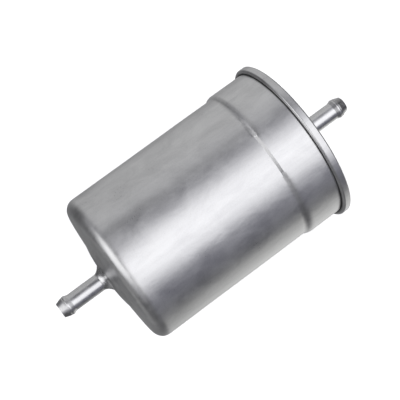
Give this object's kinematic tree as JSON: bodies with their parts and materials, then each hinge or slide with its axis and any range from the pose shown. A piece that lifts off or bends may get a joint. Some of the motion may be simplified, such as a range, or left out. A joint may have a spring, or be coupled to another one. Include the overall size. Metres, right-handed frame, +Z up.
{
  "type": "fuel filter",
  "caption": "Inline fuel filter: a plain drawn metal canister with a domed inlet end, a seamed cover and a beaded hose nipple at each end.",
  "frame": {"origin": "on the filter's axis, at the middle of the straight part of the body, where the holding clamp sits", "axes": "+X along the axis towards the seamed outlet end, -X towards the domed inlet end, +Z up with the filter lying on its side"},
  "size_m": [0.1598, 0.08, 0.08],
  "materials": {
    "housing_metal": "satin, tin-plated, with fine draw marks along the axis",
    "nipple_metal": "smooth, tin-plated",
    "braze_metal": "smooth solidified solder",
    "seam_filler": "matt",
    "filter_paper": "resin-treated, fibrous",
    "inner_sheet": "rolled, zinc-plated",
    "plastisol": "smooth, set in place",
    "gasket_rubber": "matt",
    "spring_steel": "oiled",
    "gauze": "fine plain weave"
  },
  "bodies": {
    "root": {"housing_can": "housing_metal", "cover_lid": "housing_metal", "seam_compound": "seam_filler", "inlet_nipple": "nipple_metal", "outlet_nipple": "nipple_metal", "inlet_braze_ring": "braze_metal", "outlet_braze_ring": "braze_metal", "pleated_media": "filter_paper", "media_seam_clip": "inner_sheet", "inner_core_tube": "inner_sheet", "inlet_end_cap": "inner_sheet", "outlet_end_plate": "inner_sheet", "inlet_end_bond": "plastisol", "outlet_end_bond": "plastisol", "flange_gasket": "gasket_rubber", "hold_down_spring": "spring_steel", "centring_spider": "spring_steel", "support_plate": "inner_sheet", "strainer_mesh": "gauze", "strainer_ring": "inner_sheet"}
  },
  "joints": []
}
